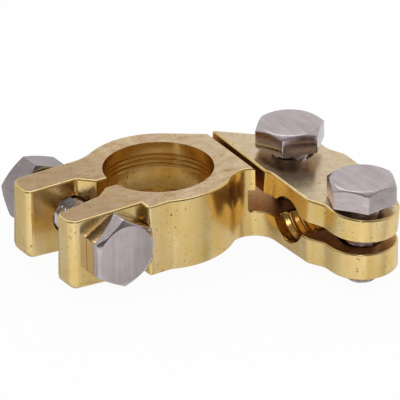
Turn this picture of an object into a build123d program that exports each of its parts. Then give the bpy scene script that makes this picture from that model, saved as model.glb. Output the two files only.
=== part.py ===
"""Brass battery terminal clamp: a split post ring with two bolted ears, and a
cable arm whose upper half is a loose jaw held by two screws.

X runs from the ears to the cable arm, Y runs across the clamp and Z is up. The
origin is the axis of the post bore, on the underside of the ring.
"""
from build123d import *
from math import cos, radians, sin, sqrt, tan
import os

os.makedirs("parts", exist_ok=True)

# ---------------------------------------------------------------- sizes, in mm
# The body is one brass forging of even height.
body_height = 12.0
bottom_chamfer = 0.3           # broken edge round the underside
ear_end_rounding = 2.0         # the ears' lower ends are rounder

# Post ring
bore_diameter = 17.6           # goes over a tapered battery post
ring_wall = 3.35
rim_land = 1.6                 # plain band above the grip ridges
ridge_pitch = 0.8
ridge_depth = 0.13
ridge_count = 4
relief_depth = 0.35            # one wider groove lower in the bore
relief_width = 0.8
relief_drop = 8.2              # from the top face to the middle of that groove

# Ears and the gap between them
far_ear_reach = 21.8           # bore axis to each ear's end
near_ear_reach = 21.6
far_ear_face = 9.35            # where the nut bears
near_ear_face = 9.0            # where the bolt's head bears
far_gap = 3.7                  # bore's centre line to the far ear's inner face
near_gap = 3.2                 # the same at the near ear's root
near_splay = 1.5               # the near ear is thinner by this at its end
throat_half_width = 1.3        # the narrow cut through the ring
throat_length = 1.8            # its length outside the bore
throat_slope = 2.3             # length over which the throat opens into the gap
throat_edge = 0.4              # roundings along the gap's walls
throat_nose = 0.9
gap_corner = 1.2
far_ear_corner = 2.5
near_ear_corner = 1.8
inner_ear_corner = 1.2
far_ear_blend = 8.0            # hollow between the far ear and the ring

# Shoulder that stops the ear bolt's head from turning
shoulder_step = 8.8            # bore axis to the face that the head leans on
shoulder_face = 11.15          # centre line to the shoulder's outer face
shoulder_length = 5.0
shoulder_corner = 0.5
head_to_shoulder = 0.1         # clearance beside the head's flat

# Cable arm
arm_start = 13.6               # bore axis to the arm's edge beside the ring
arm_width = 14.2
flank_angle = 36.5             # slope of the flank that leaves the ring
flank_corner = 2.0
valley_radius = 3.5            # hollow between the ring and the arm
boss_radius = 5.7              # round end about the outer screw
neck_bend = 2.0                # radius of the two bends of each neck
neck_length = 2.8              # over which the arm narrows to the boss
cable_line = 16.1              # centre line to the cable hole's axis
cable_bore = 8.0
cable_height = 5.8             # the cable hole's axis above the underside
groove_pitch = 1.75            # grooves that bite the cable
groove_depth = 0.55
groove_width = 1.2
groove_floor = 0.5
screw_spacing = 19.8

# Saw cuts that free the upper jaw
slot_face = 12.2               # bore axis to the slot's ring side
slot_width = 0.9
slot_skew = 3.0                # degrees by which the slot's ring side leans to the arm
jaw_skew = 1.0                 # and the jaw's side, so the slot narrows
slit_floor = 4.5
slit_height = 3.7
slit_undercut = 1.1            # how far the slit runs on past the slot

# The upper jaw as it sits, loose on its screws
jaw_drop = 0.1                 # at its corner beside the ring
jaw_pitch = 3.0                # degrees, down towards the arm's free side
jaw_roll = 3.1                 # degrees, down towards the boss

# M6 hexagon screws and nut
thread_diameter = 6.0
thread_clearance = 0.05        # a tapped thread drawn as a plain running hole
across_flats = 10.0
head_height = 3.6
nut_height = 5.0
nut_countersink = 0.35
jaw_screw_length = 13.5
tip_chamfer = 0.7
crown_angle = 30.0             # slope of the chamfer on heads and nut
crown_diameter = 9.5           # flat crown inside that chamfer
ear_hole_clearance = 0.3       # on the radius
jaw_hole_clearance = 0.5       # on the radius, so that the jaw can tip
inner_head_lift = 0.9          # underside of each head above the body's top
outer_head_lift = -0.7
nut_standoff = 2.05            # the nut isn't run home against the far ear
nut_past_tip = 0.4             # the nut's face beyond the ear bolt's end

# Degrees by which each hexagon happens to stand
ear_bolt_turn = 30.0           # one corner up, a flat to the shoulder
nut_turn = 16.5
inner_screw_turn = 45.0
outer_screw_turn = 5.0

# ------------------------------------------------------------- derived places
bore_radius = bore_diameter / 2
ring_radius = bore_radius + ring_wall
thread_radius = thread_diameter / 2
mid_height = body_height / 2
screw_x = arm_start + arm_width / 2
inner_screw_y = -cable_line + screw_spacing / 2
outer_screw_y = -cable_line - screw_spacing / 2
ear_bolt_x = -shoulder_step - head_to_shoulder - across_flats / 2
slit_ceiling = slit_floor + slit_height
jaw_face = slot_face + slot_width
nut_seat_y = far_ear_face + nut_standoff
ear_bolt_length = near_ear_face + nut_seat_y + nut_height - nut_past_tip   # a stock 25 mm

# Far enough to pass the metal on every side
beyond = far_ear_reach + arm_start + arm_width + screw_spacing + cable_line

# Hollow between the far ear and the ring, tangent to both
blend_y = far_ear_face + far_ear_blend
blend_x = -sqrt((ring_radius + far_ear_blend) ** 2 - blend_y**2)
blend_share = ring_radius / (ring_radius + far_ear_blend)

# Hollow between the ring and the arm, tangent to both
valley_x = arm_start - valley_radius
valley_y = -sqrt((ring_radius + valley_radius) ** 2 - valley_x**2)
valley_share = ring_radius / (ring_radius + valley_radius)

# The slot starts where the valley is narrowest
slot_near_y = valley_y + valley_radius

# The flank leaves the ring on a tangent and ends beside the inner screw
slope = radians(flank_angle)
boss_left = screw_x - boss_radius
boss_right = screw_x + boss_radius
arm_end = arm_start + arm_width
flank_end_y = (ring_radius - boss_right * sin(slope)) / cos(slope)

# The arm swells round the cable hole between two necks
neck_start = outer_screw_y + neck_bend + neck_length
neck_end = outer_screw_y + neck_bend
swell_start = -2 * cable_line - neck_end
swell_end = -2 * cable_line - neck_start

# The ears' gap, run on past their ends along the near ear's splay
throat_end = -bore_radius - throat_length
gap_start = throat_end - throat_slope
mouth = -far_ear_reach - far_gap
near_mouth_gap = near_gap + near_splay * (gap_start - mouth) / (gap_start + near_ear_reach)


def hexagon_blank(height):
    """A hexagon of this height on Z, with its top corners turned off."""
    corner_radius = across_flats / sqrt(3) + 1
    crown_radius = crown_diameter / 2
    drop = (corner_radius - crown_radius) * tan(radians(crown_angle))
    with BuildPart() as hexagon:
        with BuildSketch():
            RegularPolygon(across_flats / 2, 6, major_radius=False)
        extrude(amount=height)
        with BuildSketch(Plane.XZ):
            with BuildLine():
                Polyline(
                    (0, 0),
                    (corner_radius, 0),
                    (corner_radius, height - drop),
                    (crown_radius, height),
                    (0, height),
                    close=True,
                )
            make_face()
        revolve(axis=Axis.Z, mode=Mode.INTERSECT)
    return hexagon.part


def hexagon_screw(length):
    """A screw on Z: its head stands on the XY plane, its shank hangs below."""
    with BuildPart() as screw:
        add(hexagon_blank(head_height))
        with BuildSketch():
            Circle(thread_radius)
        extrude(amount=-length)
        tip = screw.faces().sort_by(Axis.Z)[0]
        chamfer(tip.edges(), tip_chamfer)
    return screw.part


# ------------------------------------------------- the forging, before sawing
with BuildPart() as forging:
    with BuildSketch() as plan:
        Circle(ring_radius)

        # The two ears, and the shoulder beside the near one
        with BuildLine():
            outside = FilletPolyline(
                (0, far_ear_face),
                (-far_ear_reach, far_ear_face),
                (-far_ear_reach, 0),
                (-near_ear_reach, 0),
                (-near_ear_reach, -near_ear_face),
                (0, -near_ear_face),
                radius=(far_ear_corner, 0, 0, near_ear_corner),
            )
            Line(outside @ 1, outside @ 0)
        make_face()
        with BuildLine():
            step = FilletPolyline(
                (-shoulder_step, 0),
                (-shoulder_step, -shoulder_face),
                (shoulder_length - shoulder_step, -shoulder_face),
                radius=(shoulder_corner,),
            )
            Polyline(step @ 1, (shoulder_length - shoulder_step, 0), step @ 0)
        make_face()
        with BuildLine():
            Polyline(
                (0, 0),
                (blend_x * blend_share, blend_y * blend_share),
                (blend_x, blend_y),
                (blend_x, 0),
                close=True,
            )
        make_face()
        with Locations((blend_x, blend_y)):
            Circle(far_ear_blend, mode=Mode.SUBTRACT)

        # The arm, with its swell round the cable hole and its round boss
        bends = (neck_bend,)
        with BuildLine():
            FilletPolyline(
                (0, 0),
                (ring_radius * sin(slope), ring_radius * cos(slope)),
                (boss_right, flank_end_y),
                (boss_right, swell_start),
                (arm_end, swell_end),
                (arm_end, neck_start),
                (boss_right, neck_end),
                (boss_right, outer_screw_y),
                (boss_left, outer_screw_y),
                (boss_left, neck_end),
                (arm_start, neck_start),
                (arm_start, valley_y),
                (valley_x, valley_y),
                (valley_x * valley_share, valley_y * valley_share),
                radius=(0, 0, flank_corner) + bends * 4 + (0, 0) + bends * 2 + (0, 0, 0),
                close=True,
            )
        make_face()
        with Locations((screw_x, outer_screw_y)):
            Circle(boss_radius)
        with Locations((valley_x, valley_y)):
            Circle(valley_radius, mode=Mode.SUBTRACT)

        # The gap between the ears, narrowing to the throat in the ring
        with BuildLine():
            FilletPolyline(
                (0, throat_half_width),
                (throat_end, throat_half_width),
                (gap_start, far_gap),
                (mouth, far_gap),
                (mouth, -near_mouth_gap),
                (gap_start, -near_gap),
                (throat_end, -throat_half_width),
                (0, -throat_half_width),
                radius=(0, throat_edge, gap_corner, 0, 0, gap_corner, throat_nose, 0),
                close=True,
            )
        make_face(mode=Mode.SUBTRACT)
        Circle(bore_radius, mode=Mode.SUBTRACT)
        ear_tips = plan.vertices().sort_by(Axis.X)[:4].sort_by(Axis.Y)
        fillet(ear_tips[1:3], inner_ear_corner)
    extrude(amount=body_height)

    # Broken edge round the underside, all but the bore's own rim
    rims = forging.edges().group_by(Axis.Z)[0]
    chamfer(rims.filter_by(lambda edge: edge.center().length > bore_radius + throat_edge), bottom_chamfer)

    # Rounder lower ends on the ears, each cut from the middle of the gap outwards
    for ear_reach, outwards in ((far_ear_reach, -beyond), (near_ear_reach, beyond)):
        with BuildSketch(Plane.XZ):
            with BuildLine():
                corner = Line((-ear_reach, 0), (-ear_reach, ear_end_rounding))
                RadiusArc(corner @ 1, (-ear_reach + ear_end_rounding, 0), -ear_end_rounding)
                Line((-ear_reach + ear_end_rounding, 0), corner @ 0)
            make_face()
        extrude(amount=outwards, mode=Mode.SUBTRACT)

    # The bore: plain land, grip ridges and a relief groove
    with BuildSketch(Plane.XZ):
        for i in range(ridge_count):
            groove_top = body_height - rim_land - i * ridge_pitch
            with BuildLine():
                Polyline(
                    (bore_radius - ridge_depth, groove_top),
                    (bore_radius + ridge_depth, groove_top - ridge_pitch / 2),
                    (bore_radius - ridge_depth, groove_top - ridge_pitch),
                    close=True,
                )
            make_face()
        with Locations((bore_radius, body_height - relief_drop)):
            Rectangle(2 * relief_depth, relief_width)
    revolve(axis=Axis.Z, mode=Mode.SUBTRACT)

    # The cable hole across the arm, with its biting grooves
    mouth_of_hole = (slot_face, -cable_line, cable_height)
    cable_end = Plane(origin=mouth_of_hole, x_dir=(0, 1, 0), z_dir=(1, 0, 0))
    with BuildSketch(cable_end):
        Circle(cable_bore / 2)
    extrude(amount=beyond, mode=Mode.SUBTRACT)
    groove_count = int(arm_width / groove_pitch) - 1
    first_groove = screw_x - (groove_count - 1) * groove_pitch / 2
    with BuildSketch(Plane.XY.offset(cable_height)):
        wall_y = -cable_line + cable_bore / 2
        for i in range(groove_count):
            groove_x = first_groove + i * groove_pitch
            with BuildLine():
                Polyline(
                    (groove_x - groove_width / 2, wall_y),
                    (groove_x - groove_floor / 2, wall_y + groove_depth),
                    (groove_x + groove_floor / 2, wall_y + groove_depth),
                    (groove_x + groove_width / 2, wall_y),
                    close=True,
                )
            make_face()
    revolve(axis=Axis(mouth_of_hole, (1, 0, 0)), mode=Mode.SUBTRACT)

# --------------------------------------------------- the body, sawn and drilled
with BuildPart() as clamp_body:
    add(forging.part)

    # The slit under the jaw, and the slot that frees the jaw from the ring
    with BuildSketch(Plane.XY.offset(slit_floor)):
        with Locations(Location((slot_face - slit_undercut, slot_near_y), -slot_skew)):
            Rectangle(beyond, 2 * beyond, align=(Align.MIN, Align.CENTER))
    extrude(amount=slit_height, mode=Mode.SUBTRACT)
    with BuildSketch(Plane.XY.offset(slit_floor)):
        with Locations(Location((slot_face, slot_near_y), -slot_skew)):
            Rectangle(beyond, 2 * beyond, align=(Align.MIN, Align.CENTER))
    extrude(amount=body_height, mode=Mode.SUBTRACT)

    # Tapped holes for the jaw's screws
    with BuildSketch():
        with Locations((screw_x, inner_screw_y), (screw_x, outer_screw_y)):
            Circle(thread_radius + thread_clearance)
    extrude(amount=slit_floor, mode=Mode.SUBTRACT)

    # Plain hole through both ears for the ear bolt
    with BuildSketch(Plane.XZ.offset(near_ear_face)):
        with Locations((ear_bolt_x, mid_height)):
            Circle(thread_radius + ear_hole_clearance)
    extrude(amount=-near_ear_face - far_ear_face, mode=Mode.SUBTRACT)

# ------------------------------------------------ the jaw, sawn from the same
with BuildPart() as level_jaw:
    add(forging.part)
    with BuildSketch(Plane.XY.offset(slit_ceiling)):
        with Locations(Location((jaw_face, slot_near_y), -jaw_skew)):
            Rectangle(beyond, 2 * beyond, align=(Align.MIN, Align.CENTER))
    extrude(amount=body_height, mode=Mode.INTERSECT)
    with BuildSketch(Plane.XY.offset(slit_ceiling)):
        with Locations((screw_x, inner_screw_y), (screw_x, outer_screw_y)):
            Circle(thread_radius + jaw_hole_clearance)
    extrude(amount=body_height, mode=Mode.SUBTRACT)

# It tips about its lower corner beside the ring.
pivot = Location((jaw_face, slot_near_y, slit_ceiling))
tip_over = Location((0, 0, -jaw_drop), (jaw_roll, jaw_pitch, 0))
with BuildPart() as cable_jaw:
    add(level_jaw.part.moved(pivot * tip_over * pivot.inverse()))

# ------------------------------------------------------------------ fasteners
# The ear bolt's head points to -Y and its nut stands beyond the far ear.
with BuildPart() as ear_bolt:
    place = Location((ear_bolt_x, -near_ear_face, mid_height), (90, 0, ear_bolt_turn))
    add(hexagon_screw(ear_bolt_length).moved(place))

with BuildPart() as plain_nut:
    add(hexagon_blank(nut_height))
    add(hexagon_blank(nut_height).rotate(Axis.X, 180).moved(Location((0, 0, nut_height))), mode=Mode.INTERSECT)
    with BuildSketch():
        Circle(thread_radius + thread_clearance)
    extrude(amount=nut_height, mode=Mode.SUBTRACT)
    entries = plain_nut.edges().filter_by(GeomType.CIRCLE).sort_by(SortBy.RADIUS)[:2]
    chamfer(entries, nut_countersink)

with BuildPart() as ear_nut:
    place = Location((ear_bolt_x, nut_seat_y, mid_height), (-90, 0, nut_turn))
    add(plain_nut.part.moved(place))

with BuildPart() as inner_screw:
    place = Location((screw_x, inner_screw_y, body_height + inner_head_lift), (0, 0, inner_screw_turn))
    add(hexagon_screw(jaw_screw_length).moved(place))

with BuildPart() as outer_screw:
    place = Location((screw_x, outer_screw_y, body_height + outer_head_lift), (0, 0, outer_screw_turn))
    add(hexagon_screw(jaw_screw_length).moved(place))

# --------------------------------------------------------------------- export
clamp_body.part.label = "clamp_body"
export_step(clamp_body.part, "parts/clamp_body.step")
cable_jaw.part.label = "cable_jaw"
export_step(cable_jaw.part, "parts/cable_jaw.step")
ear_bolt.part.label = "ear_bolt"
export_step(ear_bolt.part, "parts/ear_bolt.step")
ear_nut.part.label = "ear_nut"
export_step(ear_nut.part, "parts/ear_nut.step")
inner_screw.part.label = "inner_screw"
export_step(inner_screw.part, "parts/inner_screw.step")
outer_screw.part.label = "outer_screw"
export_step(outer_screw.part, "parts/outer_screw.step")
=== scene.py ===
# %% [markdown]
# # A brass battery terminal clamp
# The real thing is a brass forging that grips a battery post, with a sawn-off
# jaw for the cable and four steel M6 fasteners. The CAD model gives the solid
# shapes. This script gives them edges, threads, metal surfaces, light and a
# camera. Every length is in metres, in the frame of the CAD model.

# %% Load the frame
import bmesh
import bpy
from math import cos, degrees, pi, radians, sin, tan
from mathutils import Matrix, Vector


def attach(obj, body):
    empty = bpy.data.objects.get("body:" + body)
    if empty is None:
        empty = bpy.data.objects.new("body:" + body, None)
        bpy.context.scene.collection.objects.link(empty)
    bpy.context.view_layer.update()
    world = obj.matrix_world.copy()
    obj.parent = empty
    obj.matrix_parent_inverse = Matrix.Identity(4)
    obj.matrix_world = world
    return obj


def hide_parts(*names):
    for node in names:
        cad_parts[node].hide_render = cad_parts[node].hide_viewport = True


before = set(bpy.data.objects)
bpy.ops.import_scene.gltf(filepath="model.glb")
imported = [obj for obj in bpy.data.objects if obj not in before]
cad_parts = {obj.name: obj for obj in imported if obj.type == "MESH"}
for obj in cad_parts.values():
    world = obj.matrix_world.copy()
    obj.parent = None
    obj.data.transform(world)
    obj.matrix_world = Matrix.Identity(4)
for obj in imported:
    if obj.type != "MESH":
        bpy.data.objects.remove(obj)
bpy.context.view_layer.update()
MM = 0.001
print("nodes:", sorted(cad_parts))

# %% [markdown]
# ## Camera
# A small part is pictured from some way off with a long lens, so that parallel
# edges stay nearly parallel. The camera is described by the direction it looks
# from, its roll, and where the clamp lies in a frame of 400 pixels.

# %% Camera
FRAME_PIXELS = 400
AZIMUTH = radians(-31.9)
ELEVATION = radians(27.11)
ROLL = radians(1.18)
TARGET = Vector((0, 0, 5.5)) * MM
DISTANCE = 628.4 * MM
PIXELS_PER_METRE = 6.346 / MM      # at the target
TARGET_PIXEL = (159.0, 203.6)      # where the target shows, from the top left

back = Vector((sin(AZIMUTH) * cos(ELEVATION), -cos(AZIMUTH) * cos(ELEVATION), sin(ELEVATION)))
level_right = Vector((cos(AZIMUTH), sin(AZIMUTH), 0))
level_up = back.cross(level_right)
right = cos(ROLL) * level_right - sin(ROLL) * level_up
up = cos(ROLL) * level_up + sin(ROLL) * level_right

lens_data = bpy.data.cameras.new("studio_camera")
lens_data.sensor_width = 36
lens_data.lens = DISTANCE * PIXELS_PER_METRE * lens_data.sensor_width / FRAME_PIXELS
lens_data.shift_x = (FRAME_PIXELS / 2 - TARGET_PIXEL[0]) / FRAME_PIXELS
lens_data.shift_y = (TARGET_PIXEL[1] - FRAME_PIXELS / 2) / FRAME_PIXELS
lens_data.clip_end = 10
camera = bpy.data.objects.new("studio_camera", lens_data)
camera.matrix_world = Matrix.Translation(TARGET + DISTANCE * back) @ Matrix(
    (right, up, back)
).transposed().to_4x4()
bpy.context.collection.objects.link(camera)
bpy.context.scene.camera = camera
print("lens:", round(lens_data.lens, 1), "mm")

# %% [markdown]
# ## Colour and node helpers
# Colours are written as the sRGB hex values one would pick on a screen, and one
# function turns them into the linear values that Blender calculates with.
# Another small function adds any node, with its settings and its links.

# %% Helpers for materials
def hex_colour(code):
    """'#rrggbb' as linear red, green, blue and an alpha of 1."""
    channels = [int(code[i:i + 2], 16) / 255 for i in (1, 3, 5)]
    linear = [c / 12.92 if c <= 0.04045 else ((c + 0.055) / 1.055) ** 2.4 for c in channels]
    return (*linear, 1)


def add_node(tree, kind, inputs=None, stops=(), **settings):
    """Adds a node. An input's value is a number, a colour or another node's output.

    A colour ramp's stops are given as (position, colour).
    """
    node = tree.nodes.new(kind)
    for name, value in settings.items():
        setattr(node, name, value)
    for key, value in (inputs or {}).items():
        socket = node.inputs[key]
        if isinstance(value, bpy.types.NodeSocket):
            tree.links.new(value, socket)
        else:
            socket.default_value = value
    if stops:
        elements = node.color_ramp.elements
        while len(elements) < len(stops):
            elements.new(0.5)
        for element, (position, colour) in zip(elements, stops):
            element.position = position
            element.color = colour
    return node


def new_material(name):
    """An empty node material with its output and its metal shader."""
    material = bpy.data.materials.new(name)
    material.use_nodes = True
    tree = material.node_tree
    tree.nodes.clear()
    shader = add_node(tree, "ShaderNodeBsdfPrincipled", {"Metallic": 1.0})
    add_node(tree, "ShaderNodeOutputMaterial", {"Surface": shader.outputs["BSDF"]})
    return material, tree, shader


def grey(value):
    return (value, value, value, 1)


print("helpers ready")

# %% [markdown]
# ## Brass
# The clamp is forging brass, a yellow alloy with lead in it for easy cutting.
# Its sides were drawn and then tumbled, so they are bright with fine upright
# lines. The top was cut with a tool, so it is duller and slightly pink, with
# brown patches of tarnish. The saw left its cuts brown and rough. The two holes
# are a deeper yellow, which partly paints in the shade inside them. One material
# serves all of them: face attributes
# named `cut`, `sawn` and `bored` say which faces are which, and the shader
# blends between the finishes. A metal has no colour of its own under the
# reflection, so each hex value is the tint that the brass gives to what it
# mirrors.

# %% Patterns in the metal
def patterns(tree, place, **wanted):
    """Noise over a piece, for each name: its size in metres, stretch, detail and roughness.

    A pattern grows longer along an axis whose stretch is small.
    """
    made = {}
    for name, (size, stretch, detail, roughness) in wanted.items():
        stretched = add_node(tree, "ShaderNodeMapping", {"Vector": place, "Scale": stretch})
        made[name] = add_node(tree, "ShaderNodeTexNoise", {
            "Vector": stretched.outputs["Vector"], "Scale": 1 / size,
            "Detail": detail, "Roughness": roughness,
        }).outputs["Fac"]
    return made


def cover(tree, colour, layers):
    """Layers of (factor, colour), each of which covers what is below it by its factor."""
    for factor, layer in layers:
        colour = add_node(
            tree, "ShaderNodeMix", {0: factor, 6: colour, 7: layer}, data_type="RGBA",
        ).outputs[2]
    return colour


print("patterns and layers ready")

# %% Brass material
def brass(name):
    """Forging brass: bright drawn sides, a duller top and brown sawn faces."""
    material, tree, shader = new_material(name)
    place = add_node(tree, "ShaderNodeTexCoord").outputs["Object"]
    along = add_node(tree, "ShaderNodeSeparateXYZ", {0: place}).outputs["X"]
    cut, sawn, bored = (
        add_node(tree, "ShaderNodeAttribute", attribute_name=attribute).outputs["Fac"]
        for attribute in ("cut", "sawn", "bored")
    )
    seen = patterns(
        tree, place,
        # Upright lines left by drawing, 0.4 mm apart and several mm long
        lines=(0.4 * MM, (1, 1, 0.06), 3.0, 0.6),
        broad_lines=(1.6 * MM, (1, 1, 0.10), 2.0, 0.6),
        # Slow changes of tone over a few mm, and cutting marks along the ears
        patches=(4 * MM, (1, 1, 1), 4.0, 0.6),
        stains=(1.7 * MM, (0.7, 1, 1), 6.0, 0.65),
        grain=(0.35 * MM, (0.35, 1, 1), 4.0, 0.7),
        # Dark pits, about 0.2 mm across and a few mm apart
        pits=(0.45 * MM, (1, 1, 1), 2.0, 0.5),
    )

    # The drawn sides, with warm yellow patches in the paler metal
    side = add_node(tree, "ShaderNodeValToRGB", {"Fac": seen["broad_lines"]}, stops=[
        (0.30, hex_colour("#e3c580")), (0.50, hex_colour("#e8cb8c")), (0.68, hex_colour("#eed6a0")),
    ]).outputs["Color"]
    warm = add_node(tree, "ShaderNodeValToRGB", {"Fac": seen["patches"]}, stops=[
        (0.45, grey(0.0)), (0.66, grey(0.5)),
    ]).outputs["Color"]

    # The cut top, with pink patches, a browner film towards the ears, and paler metal on the arm
    top = add_node(tree, "ShaderNodeValToRGB", {"Fac": seen["stains"]}, stops=[
        (0.30, hex_colour("#a48257")), (0.42, hex_colour("#c7a77a")),
        (0.55, hex_colour("#d8bd94")), (0.72, hex_colour("#e2cdac")),
    ]).outputs["Color"]
    pink = add_node(tree, "ShaderNodeValToRGB", {"Fac": seen["patches"]}, stops=[
        (0.50, grey(0.0)), (0.62, grey(0.4)),
    ]).outputs["Color"]
    film = add_node(tree, "ShaderNodeMapRange", {
        "Value": along, "From Min": -2 * MM, "From Max": -13 * MM, "To Max": 0.5,
    }).outputs["Result"]
    pale = add_node(tree, "ShaderNodeMapRange", {
        "Value": along, "From Min": 8 * MM, "From Max": 16 * MM, "To Max": 0.5,
    }).outputs["Result"]
    top = cover(tree, top, [
        (pink, hex_colour("#c8a48e")), (film, hex_colour("#9a7a50")), (pale, hex_colour("#ecdcbc")),
    ])

    # The saw's brown cuts, the holes' deeper yellow with painted shade in it, and the pits over all of
    # them
    saw_cut = add_node(tree, "ShaderNodeValToRGB", {"Fac": seen["grain"]}, stops=[
        (0.35, hex_colour("#a8783a")), (0.65, hex_colour("#d2a466")),
    ]).outputs["Color"]
    # The holes' deeper yellow is partly painted shade for the dim insides of the holes
    turned = add_node(tree, "ShaderNodeValToRGB", {"Fac": seen["patches"]}, stops=[
        (0.35, hex_colour("#d4a756")), (0.65, hex_colour("#e8c47e")),
    ]).outputs["Color"]
    pits = add_node(tree, "ShaderNodeMapRange", {
        "Value": seen["pits"], "From Min": 0.65, "From Max": 0.74,
    }).outputs["Result"]
    colour = cover(tree, side, [
        (warm, hex_colour("#dfba62")), (cut, top), (sawn, saw_cut), (bored, turned),
        (pits, hex_colour("#6d4c26")),
    ])
    tree.links.new(colour, shader.inputs["Base Color"])

    side_rough = add_node(tree, "ShaderNodeMapRange", {
        "Value": seen["lines"], "From Min": 0.3, "From Max": 0.7, "To Min": 0.19, "To Max": 0.26,
    }).outputs["Result"]
    top_rough = add_node(tree, "ShaderNodeMapRange", {
        "Value": seen["stains"], "From Min": 0.3, "From Max": 0.7, "To Min": 0.30, "To Max": 0.17,
    }).outputs["Result"]
    forged_rough = add_node(tree, "ShaderNodeMix", {0: cut, 2: side_rough, 3: top_rough})
    rough = add_node(tree, "ShaderNodeMix", {0: sawn, 2: forged_rough.outputs[0], 3: 0.34})
    tree.links.new(rough.outputs[0], shader.inputs["Roughness"])

    height = add_node(tree, "ShaderNodeMix", {0: cut, 2: seen["lines"], 3: seen["grain"]})
    bump = add_node(tree, "ShaderNodeBump", {
        "Strength": 0.18, "Distance": 0.04 * MM, "Height": height.outputs[0],
    })
    tree.links.new(bump.outputs["Normal"], shader.inputs["Normal"])
    return material


forged_brass = brass("forged_brass")
print("material:", forged_brass.name)

# %% [markdown]
# ## Steel
# The fasteners are stainless steel, cold formed and barrel finished. Steel is
# a grey metal with a faint warm tint here, and drawing the bar leaves fine
# lines along the axis on the six flats. The ear bolt and its nut lie level and
# the two jaw screws stand upright, so the lines are stretched along Y or Z. The
# nut gets a copy of the steel with a darker tint, which is painted shade.

# %% Steel materials
def stainless(name, line_stretch, face_stretch, darker="#c4b8b9", lighter="#d2c8c8"):
    """Stainless steel: fine lines along the axis, and a brushed grain on the crown."""
    material, tree, shader = new_material(name)
    place = add_node(tree, "ShaderNodeTexCoord").outputs["Object"]
    seen = patterns(
        tree, place,
        lines=(0.35 * MM, line_stretch, 3.0, 0.6),
        brushed=(0.5 * MM, face_stretch, 3.0, 0.6),
        clouds=(3 * MM, (1, 1, 1), 4.0, 0.6),
    )
    tint = add_node(tree, "ShaderNodeValToRGB", {"Fac": seen["clouds"]}, stops=[
        (0.3, hex_colour(darker)), (0.7, hex_colour(lighter)),
    ])
    streaks = add_node(tree, "ShaderNodeValToRGB", {"Fac": seen["brushed"]}, stops=[
        (0.3, hex_colour("#d8d0d2")), (0.7, grey(1.0)),
    ])
    colour = add_node(tree, "ShaderNodeMix", {
        0: 0.6, 6: tint.outputs["Color"], 7: streaks.outputs["Color"],
    }, data_type="RGBA", blend_type="MULTIPLY")
    tree.links.new(colour.outputs[2], shader.inputs["Base Color"])
    rough = add_node(tree, "ShaderNodeMapRange", {
        "Value": seen["lines"], "From Min": 0.3, "From Max": 0.7, "To Min": 0.12, "To Max": 0.22,
    })
    tree.links.new(rough.outputs["Result"], shader.inputs["Roughness"])
    bump = add_node(tree, "ShaderNodeBump", {
        "Strength": 0.15, "Distance": 0.02 * MM, "Height": seen["lines"],
    })
    tree.links.new(bump.outputs["Normal"], shader.inputs["Normal"])
    return material


upright_steel = stainless("stainless_steel_upright", (1, 1, 0.06), (0.5, 0.06, 1))
level_steel = stainless("stainless_steel_level", (1, 0.06, 1), (1, 1, 0.06))
# The nut's darker tint is painted shade: the same steel, darker, for its dim faces
shaded_nut_steel = stainless("stainless_steel_nut_painted_shade", (1, 0.06, 1), (1, 1, 0.06), "#9c9193", "#aea4a6")
print("materials:", upright_steel.name, level_steel.name, shaded_nut_steel.name)

# %% [markdown]
# ## Softer ends on the ears
# A forging leaves its die with rounded corners, most of all at the ears' lower
# ends. A bevel keeps one width along an edge, but this rounding fades out along
# each ear. So the faces there are cut finer first, and then each point that
# doesn't lie on the rounding is moved on to a ball, whose radius shrinks with
# the distance from the ear's end.

# %% Softened ear ends
EARS_START = -12 * MM           # the ears lie at smaller X than this
LARGEST_SOFTNESS = 1.6 * MM     # the ball's radius at the ears' ends
LEAST_SOFTNESS = 0.3 * MM       # and where it has faded
FADE = 9 * MM                   # the length of ear along which it fades
FADE_CUTS = 6                   # cuts across the ears, an eighth of the fade apart
ARC_DEGREES = (22, 45, 67, 90)  # where the cuts divide the rounding's arc
SLIVER = 0.06 * MM              # points nearer to each other than this become one
INSIDE = 0.7                    # a point inside this share of the radius stays
# Each ear's end along X, and its two sides along Y. The near ear's second side is
# splayed, so it is given too far out on purpose, and isn't rounded.
EAR_ENDS = ((-21.8 * MM, 3.7 * MM, 9.35 * MM), (-21.6 * MM, -9.0 * MM, 0.0))


def low_parts_of_ears(shape):
    """The faces low on the ears, with their edges and points."""
    low_faces = [
        face for face in shape.faces
        if max(vert.co.x for vert in face.verts) < EARS_START + FADE / 2
        and min(vert.co.z for vert in face.verts) < LARGEST_SOFTNESS
    ]
    parts = set(low_faces)
    for face in low_faces:
        parts.update(face.edges, face.verts)
    return list(parts)


def cut_ears_finer(shape):
    """Cuts the faces low on the ears along the rounding's arcs and across its fade."""
    levels = [LARGEST_SOFTNESS * (1 - cos(radians(turn))) for turn in ARC_DEGREES]
    planes = [((0, 0, level), (0, 0, 1)) for level in levels]
    planes += [((EARS_START - step * FADE / 8, 0, 0), (1, 0, 0)) for step in range(FADE_CUTS)]
    for end, low, high in EAR_ENDS:
        planes += [((end + level, 0, 0), (1, 0, 0)) for level in levels]
        planes += [((0, low + level, 0), (0, 1, 0)) for level in levels]
        planes += [((0, high - level, 0), (0, 1, 0)) for level in levels]
    for place, direction in planes:
        bmesh.ops.bisect_plane(
            shape, geom=low_parts_of_ears(shape), plane_co=place, plane_no=direction, dist=1e-7,
        )
    # The highest level stays whole, so only points below it are merged
    near = [v for v in shape.verts if v.co.x < EARS_START and v.co.z < LARGEST_SOFTNESS * 0.99]
    bmesh.ops.remove_doubles(shape, verts=near, dist=SLIVER)


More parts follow.
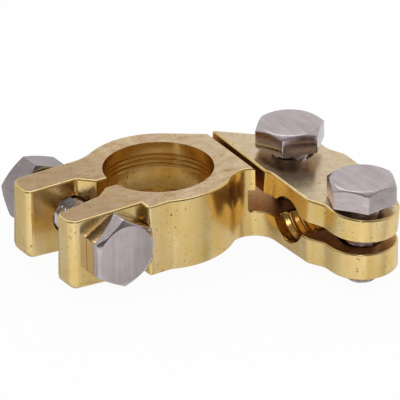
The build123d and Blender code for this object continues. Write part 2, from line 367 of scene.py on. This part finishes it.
def soften_ear_ends(shape):
    """Rounds the ears' lower ends: a ball corner at each end, which fades along the ear."""
    cut_ears_finer(shape)
    for vert in shape.verts:
        if vert.co.z > LARGEST_SOFTNESS:
            continue
        for end, low, high in EAR_ENDS:
            along = max(0, vert.co.x - end) / FADE
            if along > 1 or not low - MM < vert.co.y < high + MM:
                continue
            softness = LARGEST_SOFTNESS + (LEAST_SOFTNESS - LARGEST_SOFTNESS) * along
            inner = Vector((
                max(vert.co.x, end + softness),
                min(max(vert.co.y, low + softness), high - softness),
                max(vert.co.z, softness),
            ))
            outwards = vert.co - inner
            if outwards.length > INSIDE * softness:
                vert.co = inner + outwards.normalized() * softness


print("ear ends:", LARGEST_SOFTNESS / MM, "mm, fading over", FADE / MM, "mm")

# %% [markdown]
# ## Rounded rim on the brass
# A metal shows even a 0.1 mm rounding as a thin bright line. Tumbling rounds the
# outer rim of the top faces most, while the post bore is turned later and keeps
# its crisp edge. So the bevel isn't a modifier with an angle limit, which would
# take every sharp edge: a test picks the edges of the outer rim alone.

# %% Rim of the top faces
RIM_ROUNDING = 0.3 * MM
BORE_RADIUS = 8.8 * MM
BORE_MARGIN = 0.4 * MM          # edges this close to the bore are its own
SHARP = radians(35)             # the least angle between a rim's two faces
LEVEL_FACE = 0.95               # a level face's normal has at least this Z
UPRIGHT_FACE = 0.3              # and an upright one's at most this


def on_outer_rim(edge):
    """True for a sharp edge between the top and an upright wall, outside the post bore."""
    if len(edge.link_faces) != 2 or edge.calc_face_angle() < SHARP:
        return False
    level, upright = sorted(edge.link_faces, key=lambda face: -face.normal.z)
    middle = (edge.verts[0].co + edge.verts[1].co) / 2
    outside = Vector((middle.x, middle.y, 0)).length > BORE_RADIUS + BORE_MARGIN
    return outside and level.normal.z > LEVEL_FACE and abs(upright.normal.z) < UPRIGHT_FACE


print("rim rounding:", RIM_ROUNDING / MM, "mm")

# %% [markdown]
# ## Copies of the CAD pieces
# The CAD node's mesh is loose triangles. A copy of it is merged, its flat faces
# are joined, and it is shaded smooth between its sharp edges, so that a round
# wall shows no facets. Weighted normals keep the flat faces flat up to the
# rounding. The copy then stands for the node and rides on the node's body.

# %% Finished copies
WELD = 0.002 * MM               # corners nearer to each other than this are one
FLAT = radians(0.3)             # faces that meet at less than this are joined
CRISP = radians(31.5)           # sharper edges stay crisp: the bore's ridges only just do


def plain_mesh(obj):
    """Turns an object with modifiers into a plain mesh."""
    graph = bpy.context.evaluated_depsgraph_get()
    finished = bpy.data.meshes.new_from_object(obj.evaluated_get(graph))
    obj.modifiers.clear()
    obj.data = finished
    return finished


def rounded_copy(node, name, body, material, rim_rounding=0.0):
    """A copy of a CAD node with rounded edges, which then stands for the node."""
    mesh = bpy.data.meshes.new(name)
    shape = bmesh.new()
    shape.from_mesh(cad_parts[node].data)
    bmesh.ops.remove_doubles(shape, verts=shape.verts, dist=WELD)
    if node == "clamp_body":
        soften_ear_ends(shape)
    # Flat faces are joined, but not the small ones of the softened ear ends
    plain = {v for v in shape.verts if v.co.x > EARS_START or v.co.z > 1.01 * LARGEST_SOFTNESS}
    bmesh.ops.dissolve_limit(
        shape, angle_limit=FLAT, verts=list(plain),
        edges=[edge for edge in shape.edges if plain.issuperset(edge.verts)],
    )
    if rim_rounding:
        bmesh.ops.bevel(
            shape, geom=[edge for edge in shape.edges if on_outer_rim(edge)], offset=rim_rounding,
            offset_type="OFFSET", segments=3, profile=0.5, affect="EDGES", clamp_overlap=False,
        )
    shape.to_mesh(mesh)
    shape.free()
    mesh.shade_smooth()
    mesh.set_sharp_from_angle(angle=CRISP)
    mesh.materials.append(material)
    piece = bpy.data.objects.new(name, mesh)
    bpy.context.collection.objects.link(piece)
    flat = piece.modifiers.new("flat_faces_stay_flat", "WEIGHTED_NORMAL")
    flat.keep_sharp = True
    mesh = plain_mesh(piece)
    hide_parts(node)
    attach(piece, body)
    print(name, len(mesh.polygons), "faces")
    return piece


print("sharp edges from", round(degrees(CRISP), 1), "degrees")

# %% [markdown]
# ## Cut, sawn and bored faces
# The finishes of the brass meet at sharp edges, so a face has one finish. A face
# attribute is a number kept for each face, and the brass material reads it. Three
# materials would do too, but the noise that they share would be written out
# three times. Each rule asks where a face lies and which way it looks.

# %% Marks on the faces
SQUARE = 0.97                   # how square to an axis a sawn or cut face looks
LOWEST_TOP = 8.5 * MM           # the top faces lie above this
SLIT_START = 10.5 * MM          # the slit under the jaw: from here along X
SLIT_BOTTOM = 4 * MM
SLIT_TOP = 9.5 * MM
JAW_START = 11 * MM             # the slot beside the jaw: from here along X
SLOT_FAR_WALL = 14.4 * MM
SLOT_END = -9.4 * MM            # and down to here along Y
CABLE_AXIS = Vector((0, -16.1, 5.8)) * MM       # the cable hole runs along X
CABLE_RADIUS = 4 * MM
POST_BORE_REACH = BORE_RADIUS + 0.5 * MM        # the bore's ridges lie inside this
CABLE_HOLE_REACH = CABLE_RADIUS + 0.7 * MM      # and the cable hole's grooves inside this
BORE_WALL = 0.9                 # a wall of the post bore has less Z than this in its normal


def mark_faces(piece, attribute, belongs):
    """Stores 1 in a face attribute where belongs(centre, normal) holds."""
    marks = piece.data.attributes.new(attribute, "FLOAT", "FACE")
    marks.data.foreach_set("value", [float(belongs(f.center, f.normal)) for f in piece.data.polygons])


def on_top(centre, normal):
    return normal.z > SQUARE and centre.z > LOWEST_TOP


def in_saw_cut(centre, normal):
    """The slit's floor and ceiling, the end of the slit, and the slot's two walls."""
    level = abs(normal.z) > SQUARE
    in_slit = centre.x > SLIT_START and level and SLIT_BOTTOM < centre.z < SLIT_TOP
    along_slot = JAW_START < centre.x < SLOT_FAR_WALL and centre.y > SLOT_END
    in_slot = along_slot and abs(normal.x) > SQUARE
    return (in_slit or in_slot) and not on_top(centre, normal)


def in_a_hole(centre, normal):
    """The post bore and the cable hole: faces that look at the axis of one of them."""
    from_post = Vector((centre.x, centre.y, 0))
    in_post_bore = from_post.length < POST_BORE_REACH and from_post.dot(normal) < 0
    from_cable = Vector((0, centre.y, centre.z)) - CABLE_AXIS
    in_cable_hole = centre.x > JAW_START and from_cable.length < CABLE_HOLE_REACH
    bored_for_post = in_post_bore and abs(normal.z) < BORE_WALL
    return bored_for_post or (in_cable_hole and from_cable.dot(normal) < 0)


print("marks: cut, sawn, bored")

# %% [markdown]
# ## Clamp, jaw and nut
# The body and the loose jaw are sawn from one forging, so both have the brass
# and its marks. The nut keeps the CAD model's turned crowns and gets the steel
# with the darker tint of painted shade, and nothing on it is marked.

# %% Brass pieces and the nut
clamp = rounded_copy("clamp_body", "brass_clamp", "clamp", forged_brass, RIM_ROUNDING)
jaw = rounded_copy("cable_jaw", "brass_jaw", "jaw", forged_brass, RIM_ROUNDING)
for piece in (clamp, jaw):
    mark_faces(piece, "cut", on_top)
    mark_faces(piece, "sawn", in_saw_cut)
    mark_faces(piece, "bored", in_a_hole)
rounded_copy("ear_nut", "steel_nut", "nut", shaded_nut_steel)

# %% [markdown]
# ## Threads
# An M6 thread climbs 1 mm a turn and is about 0.6 mm deep. It could be a profile
# swept along a helix, but that leaves a seam along the shank. Geometry Nodes make
# it from a fine cylinder instead: each point moves inwards by an amount that
# depends on its height less its share of a turn, so the groove climbs round.

# %% Thread tree
SHANK_POINTS = 48               # in each ring of the shank


def thread_tree():
    """A tree that hangs a threaded shank, along -Z, under the mesh it is given."""
    tree = bpy.data.node_groups.new("threaded_shank", "GeometryNodeTree")
    face = tree.interface
    face.new_socket("Geometry", in_out="INPUT", socket_type="NodeSocketGeometry")
    for label, kind in (
        ("Length", "NodeSocketFloat"), ("Radius", "NodeSocketFloat"), ("Pitch", "NodeSocketFloat"),
        ("Depth", "NodeSocketFloat"), ("Tip", "NodeSocketFloat"), ("Rings", "NodeSocketInt"),
        ("Material", "NodeSocketMaterial"),
    ):
        face.new_socket(label, in_out="INPUT", socket_type=kind)
    face.new_socket("Geometry", in_out="OUTPUT", socket_type="NodeSocketGeometry")
    given = add_node(tree, "NodeGroupInput").outputs

    point = add_node(tree, "ShaderNodeSeparateXYZ", {
        0: add_node(tree, "GeometryNodeInputPosition").outputs[0],
    }).outputs
    values = {size: given[size] for size in ("Length", "Radius", "Pitch", "Depth", "Tip")}
    values.update({axis: point[axis] for axis in "XYZ"})
    # Each step gives its result's name, the operation, and what it works on
    for result, operation, *operands in (
        ("middle", "MULTIPLY", "Length", -0.5),
        ("angle", "ARCTAN2", "Y", "X"),
        ("turn", "DIVIDE", "angle", 2 * pi),
        ("climb", "DIVIDE", "Z", "Pitch"),
        ("unwound", "SUBTRACT", "climb", "turn"),
        ("phase", "FRACT", "unwound"),
        ("swing", "MULTIPLY_ADD", "phase", 2.0, -1.0),
        ("flank", "ABSOLUTE", "swing"),
        # Steeper and cut off at 0 and 1: flat crests and roots of a tenth of the pitch each
        ("steeper", "MULTIPLY_ADD", "flank", 1.25, -0.12),
        ("flat_root", "MINIMUM", "steeper", 1.0),
        ("groove", "MAXIMUM", "flat_root", 0.0),
        ("inwards", "MULTIPLY", "groove", "Depth"),
        ("threaded", "SUBTRACT", "Radius", "inwards"),
        # The tip is a cone, where the radius grows as fast as the height above the end
        ("above_end", "ADD", "Z", "Length"),
        ("end_radius", "SUBTRACT", "Radius", "Tip"),
        ("cone", "ADD", "above_end", "end_radius"),
        ("reach", "MINIMUM", "threaded", "cone"),
        ("cosine", "COSINE", "angle"),
        ("sine", "SINE", "angle"),
        ("new_x", "MULTIPLY", "cosine", "reach"),
        ("new_y", "MULTIPLY", "sine", "reach"),
    ):
        inputs = {i: values.get(operand, operand) for i, operand in enumerate(operands)}
        values[result] = add_node(tree, "ShaderNodeMath", inputs, operation=operation).outputs[0]

    cylinder = add_node(tree, "GeometryNodeMeshCylinder", {
        "Vertices": SHANK_POINTS, "Side Segments": given["Rings"],
        "Radius": given["Radius"], "Depth": given["Length"],
    })
    drop = add_node(tree, "ShaderNodeCombineXYZ", {"Z": values["middle"]})
    hung = add_node(tree, "GeometryNodeTransform", {
        "Geometry": cylinder.outputs["Mesh"], "Translation": drop.outputs[0],
    })
    new_place = add_node(tree, "ShaderNodeCombineXYZ", {
        "X": values["new_x"], "Y": values["new_y"], "Z": values["Z"],
    })
    moved = add_node(tree, "GeometryNodeSetPosition", {
        "Geometry": hung.outputs[0], "Position": new_place.outputs[0],
    })
    both = add_node(tree, "GeometryNodeJoinGeometry")
    tree.links.new(moved.outputs[0], both.inputs[0])
    tree.links.new(given["Geometry"], both.inputs[0])
    solid = add_node(tree, "GeometryNodeRealizeInstances", {0: both.outputs[0]})
    dressed = add_node(tree, "GeometryNodeSetMaterial", {
        "Geometry": solid.outputs[0], "Material": given["Material"],
    })
    add_node(tree, "NodeGroupOutput", {0: dressed.outputs[0]})
    return tree


shank_tree = thread_tree()
print("tree:", shank_tree.name)

# %% [markdown]
# ## Hexagon heads
# A hexagon head is a prism whose top corners are turned off by a cone, which
# leaves a curved edge on each flat. A bevel can't give that curve. So one ring
# of points follows the hexagon, and each point drops by how far it lies outside
# the round crown.

# %% Heads
ACROSS_FLATS = 10 * MM
HEAD_HEIGHT = 3.6 * MM
HEAD_EDGE = 0.12 * MM           # rounding of a head's edges
CROWN_RADIUS = 4.75 * MM
CROWN_SLOPE = tan(radians(30))
HEAD_POINTS = 96


def hexagon_head(mesh):
    """Fills mesh with a hexagon head on the XY plane, a corner on +X."""
    shape = bmesh.new()
    rings = [[], [], [], []]
    for i in range(HEAD_POINTS):
        angle = 2 * pi * i / HEAD_POINTS
        off_flat = (angle % (pi / 3)) - pi / 6
        reach = ACROSS_FLATS / 2 / cos(off_flat)
        shoulder = HEAD_HEIGHT - (reach - CROWN_RADIUS) * CROWN_SLOPE
        levels = (
            (reach - HEAD_EDGE, 0), (reach, HEAD_EDGE), (reach, shoulder), (CROWN_RADIUS, HEAD_HEIGHT),
        )
        for ring, (radius, height) in zip(rings, levels):
            ring.append(shape.verts.new((radius * cos(angle), radius * sin(angle), height)))
    for lower, upper in zip(rings, rings[1:]):
        for i in range(HEAD_POINTS):
            j = (i + 1) % HEAD_POINTS
            shape.faces.new((lower[i], lower[j], upper[j], upper[i]))
    shape.faces.new(rings[-1])
    shape.faces.new(reversed(rings[0]))
    shape.to_mesh(mesh)
    shape.free()


print("heads:", ACROSS_FLATS / MM, "mm across flats")

# %% [markdown]
# ## Screws
# Three hexagon screws hold the clamp together: a level one through both ears,
# and an upright one at each side of the cable. They differ in length, place, turn
# and the way their steel's lines run, so one function makes all three. It rounds
# the head's edges with a Bevel modifier, hangs the thread under the head, and
# moves the finished mesh.

# %% Screw maker
THREAD_RADIUS = 3 * MM
THREAD_PITCH = 1 * MM
THREAD_DEPTH = 0.6 * MM
TIP_CHAMFER = 0.7 * MM
RING_STEP = 0.1 * MM            # height between two rings of the shank's points
BEVEL_FROM = radians(22)        # the head's edges from this angle are rounded
THREAD_CRISP = radians(32)      # edges sharper than this stay crisp


def screw(name, node, body, length, place, material):
    """A hexagon screw with a real thread, moved to its place and standing for its node."""
    mesh = bpy.data.meshes.new(name)
    hexagon_head(mesh)
    piece = bpy.data.objects.new(name, mesh)
    bpy.context.collection.objects.link(piece)
    bevel = piece.modifiers.new("edges", "BEVEL")
    bevel.width = HEAD_EDGE
    bevel.segments = 2
    bevel.limit_method = "ANGLE"
    bevel.angle_limit = BEVEL_FROM
    shank = piece.modifiers.new("shank", "NODES")
    shank.node_group = shank_tree
    sizes = {
        "Length": length, "Radius": THREAD_RADIUS, "Pitch": THREAD_PITCH, "Depth": THREAD_DEPTH,
        "Tip": TIP_CHAMFER, "Rings": round(length / RING_STEP), "Material": material,
    }
    for item in shank_tree.interface.items_tree:
        if item.name in sizes:
            shank[item.identifier] = sizes[item.name]
    mesh = plain_mesh(piece)
    mesh.transform(place)
    mesh.shade_smooth()
    mesh.set_sharp_from_angle(angle=THREAD_CRISP)
    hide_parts(node)
    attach(piece, body)
    print(name, len(mesh.polygons), "faces")


print("thread: M6,", THREAD_PITCH / MM, "mm pitch")

# %% Screws in their places
EAR_BOLT_LENGTH = 25 * MM
JAW_SCREW_LENGTH = 13.5 * MM
# Where the flat underside of each head lies
UNDER_EAR_HEAD = Vector((-13.9, -9.0, 6.0)) * MM
UNDER_INNER_HEAD = Vector((20.7, -6.2, 12.9)) * MM
UNDER_OUTER_HEAD = Vector((20.7, -26.0, 11.3)) * MM


def stand(place, degrees_round):
    """Where an upright screw goes, turned about its own axis."""
    return Matrix.Translation(place) @ Matrix.Rotation(radians(degrees_round), 4, "Z")


lie_down = Matrix.Rotation(radians(90), 4, "X")
flat_up = Matrix.Rotation(radians(30), 4, "Z")
ear_place = Matrix.Translation(UNDER_EAR_HEAD) @ lie_down @ flat_up
inner_place = stand(UNDER_INNER_HEAD, 45)
outer_place = stand(UNDER_OUTER_HEAD, 5)
screw("steel_ear_bolt", "ear_bolt", "clamp", EAR_BOLT_LENGTH, ear_place, level_steel)
screw("steel_inner_screw", "inner_screw", "inner_screw", JAW_SCREW_LENGTH, inner_place, upright_steel)
screw("steel_outer_screw", "outer_screw", "outer_screw", JAW_SCREW_LENGTH, outer_place, upright_steel)

# %% [markdown]
# ## Floor
# The clamp lies on a sweep of white paper. To the camera the paper is nearly pure
# white, with a faint shadow. In the metal it is mostly see-through, because
# what the lower faces mirror is set by the surroundings below. Light Path tells
# the two kinds of ray apart, so one material serves both.

# %% Floor
FLOOR_HALF = 1.5                # half a side, far past what the camera sees
FLOOR_HEIGHT = -2.25 * MM       # just under the outer screw's tip
WHITENESS = 0.95                # plain white for the camera: the rest takes the shadow
SEE_THROUGH = 0.65              # how clear the floor is in reflections
BORE_SHADE = grey(0.6)          # the shaded paper inside the post bore
SHADE_FADE = 2 * MM             # how far past the bore that shade fades out


def pale_floor():
    """White paper for the camera, mostly clear in reflections, and shaded in the bore."""
    material, tree, _ = new_material("white_sweep_paper")
    tree.nodes.clear()
    ray = add_node(tree, "ShaderNodeLightPath").outputs
    paper = add_node(tree, "ShaderNodeBsdfDiffuse", {"Color": hex_colour("#f4f4f4")})
    glow = add_node(tree, "ShaderNodeEmission", {"Color": grey(1.0), "Strength": 1.0})
    clear = add_node(tree, "ShaderNodeBsdfTransparent")
    white_share = add_node(
        tree, "ShaderNodeMath", {0: ray["Is Camera Ray"], 1: WHITENESS}, operation="MULTIPLY",
    )
    seen = add_node(tree, "ShaderNodeMixShader", {
        0: white_share.outputs[0], 1: paper.outputs[0], 2: glow.outputs[0],
    })
    clear_share = add_node(
        tree, "ShaderNodeMath", {0: ray["Is Glossy Ray"], 1: SEE_THROUGH}, operation="MULTIPLY",
    )
    mirrored = add_node(tree, "ShaderNodeMixShader", {
        0: clear_share.outputs[0], 1: seen.outputs[0], 2: clear.outputs[0],
    })
    # Little light reaches the paper inside the post bore, so the bore mirrors a dark floor
    place = add_node(tree, "ShaderNodeTexCoord").outputs["Object"]
    flat_place = add_node(
        tree, "ShaderNodeVectorMath", {0: place, 1: (1, 1, 0)}, operation="MULTIPLY",
    )
    from_axis = add_node(
        tree, "ShaderNodeVectorMath", {0: flat_place.outputs[0]}, operation="LENGTH",
    )
    in_bore = add_node(tree, "ShaderNodeMapRange", {
        "Value": from_axis.outputs["Value"], "From Min": BORE_RADIUS,
        "From Max": BORE_RADIUS + SHADE_FADE, "To Min": 1.0, "To Max": 0.0,
    })
    shade_share = add_node(tree, "ShaderNodeMath", {
        0: ray["Is Glossy Ray"], 1: in_bore.outputs["Result"],
    }, operation="MULTIPLY")
    shade = add_node(tree, "ShaderNodeBsdfDiffuse", {"Color": BORE_SHADE})
    shaded = add_node(tree, "ShaderNodeMixShader", {
        0: shade_share.outputs[0], 1: mirrored.outputs[0], 2: shade.outputs[0],
    })
    add_node(tree, "ShaderNodeOutputMaterial", {"Surface": shaded.outputs[0]})
    return material


floor_mesh = bpy.data.meshes.new("floor")
corners = [
    (x * FLOOR_HALF, y * FLOOR_HALF, FLOOR_HEIGHT) for x, y in ((-1, -1), (1, -1), (1, 1), (-1, 1))
]
floor_mesh.from_pydata(corners, [], [(0, 1, 2, 3)])
floor_mesh.materials.append(pale_floor())
floor = bpy.data.objects.new("floor", floor_mesh)
bpy.context.collection.objects.link(floor)
print("floor at", FLOOR_HEIGHT)

# %% [markdown]
# ## Surroundings
# Metal shows what is around it, so a brass piece is lit as much by its
# surroundings as by its lamps. An image of a studio could be wrapped round the
# scene, but two colour ramps are easier to change: one goes round the compass
# below the horizon, for the upright faces to mirror, and one is the sky, dark
# towards the camera and bright behind the clamp. The camera sees plain white, and
# matt surfaces an even pale grey.

# %% Studio surroundings
TO_CAMERA = Vector((sin(AZIMUTH), -cos(AZIMUTH), 0))
# Brightness round the compass: 0.5 is the camera's side, 0 and 1 the far side
COMPASS_STOPS = (
    (0.0, 0.75), (0.17, 0.50), (0.30, 0.78), (0.38, 1.02), (0.44, 1.00),
    (0.48, 1.15), (0.52, 1.15), (0.56, 0.75), (0.60, 0.92), (0.68, 0.72),
    (0.71, 0.34), (0.74, 0.90), (0.80, 0.95), (0.88, 0.90), (1.0, 0.75),
)
# Brightness of the sky, from the far side at 0 to the camera's side at 1
SKY_STOPS = ((0.0, 0.80), (0.2, 0.74), (0.42, 0.70), (0.62, 0.26), (1.0, 0.10))
HORIZON = (-0.06, 0.10)         # heights between which the compass gives way to the sky
MATT_LIGHT = grey(0.8)          # what matt surfaces get from all round


def studio_world():
    """Surroundings with a ring and a sky for metal, and plain light for all else."""
    world = bpy.data.worlds.new("studio")
    world.use_nodes = True
    tree = world.node_tree
    tree.nodes.clear()
    ray = add_node(tree, "ShaderNodeLightPath").outputs
    direction = add_node(tree, "ShaderNodeTexCoord").outputs["Generated"]
    height = add_node(tree, "ShaderNodeSeparateXYZ", {0: direction}).outputs["Z"]
    turned = add_node(
        tree, "ShaderNodeVectorRotate", {"Vector": direction, "Angle": -AZIMUTH},
        rotation_type="Z_AXIS",
    )
    flat = add_node(tree, "ShaderNodeSeparateXYZ", {0: turned.outputs[0]}).outputs
    forwards = add_node(tree, "ShaderNodeMath", {0: flat["Y"], 1: -1.0}, operation="MULTIPLY")
    compass = add_node(
        tree, "ShaderNodeMath", {0: flat["X"], 1: forwards.outputs[0]}, operation="ARCTAN2",
    )
    around = add_node(tree, "ShaderNodeMapRange", {
        "Value": compass.outputs[0], "From Min": -pi, "From Max": pi,
    })
    ring = add_node(
        tree, "ShaderNodeValToRGB", {"Fac": around.outputs["Result"]},
        stops=[(position, grey(value)) for position, value in COMPASS_STOPS],
    )
    towards_camera = add_node(
        tree, "ShaderNodeVectorMath", {0: direction, 1: TO_CAMERA}, operation="DOT_PRODUCT",
    )
    across = add_node(tree, "ShaderNodeMapRange", {
        "Value": towards_camera.outputs["Value"], "From Min": -1.0, "From Max": 1.0,
    })
    sky = add_node(
        tree, "ShaderNodeValToRGB", {"Fac": across.outputs["Result"]},
        stops=[(position, grey(value)) for position, value in SKY_STOPS],
    )
    above = add_node(tree, "ShaderNodeMapRange", {
        "Value": height, "From Min": HORIZON[0], "From Max": HORIZON[1],
    }, interpolation_type="SMOOTHSTEP")
    mirrored = cover(tree, ring.outputs["Color"], [(above.outputs["Result"], sky.outputs["Color"])])
    glossy = add_node(tree, "ShaderNodeBackground", {"Color": mirrored})
    even = add_node(tree, "ShaderNodeBackground", {"Color": MATT_LIGHT})
    white = add_node(tree, "ShaderNodeBackground", {"Color": grey(1.0)})
    lit = add_node(tree, "ShaderNodeMixShader", {
        0: ray["Is Glossy Ray"], 1: even.outputs[0], 2: glossy.outputs[0],
    })
    shown = add_node(tree, "ShaderNodeMixShader", {
        0: ray["Is Camera Ray"], 1: lit.outputs[0], 2: white.outputs[0],
    })
    add_node(tree, "ShaderNodeOutputWorld", {"Surface": shown.outputs[0]})
    return world


bpy.context.scene.world = studio_world()
print("world:", bpy.context.scene.world.name)

# %% [markdown]
# ## Lamps
# A large soft light hangs behind and above the clamp. It brightens the top faces
# and throws a faint shadow. A small one over the camera puts bright spots in the
# grooves of the threads and on the rounded edges, which a wide light can't do.

# %% Soft lights
CLAMP_MIDDLE = Vector((0, 0, 0))
OVERHEAD_PLACE = Vector((0.10, 0.22, 0.38))
FRONT_PLACE = 0.32 * TO_CAMERA + Vector((0, 0, 0.30))


def soft_light(name, place, size, watts):
    """A round soft light at a place, aimed at the clamp."""
    data = bpy.data.lights.new(name, "AREA")
    data.shape = "DISK"
    data.size = size
    data.energy = watts
    lamp = bpy.data.objects.new(name, data)
    aim = (place - CLAMP_MIDDLE).to_track_quat("Z", "Y").to_matrix().to_4x4()
    lamp.matrix_world = Matrix.Translation(place) @ aim
    bpy.context.collection.objects.link(lamp)


soft_light("overhead_softbox", OVERHEAD_PLACE, size=0.30, watts=0.25)
soft_light("front_softbox", FRONT_PLACE, size=0.10, watts=0.12)
bpy.context.scene.view_settings.view_transform = "Standard"
print("lamps:", len(bpy.data.lights))
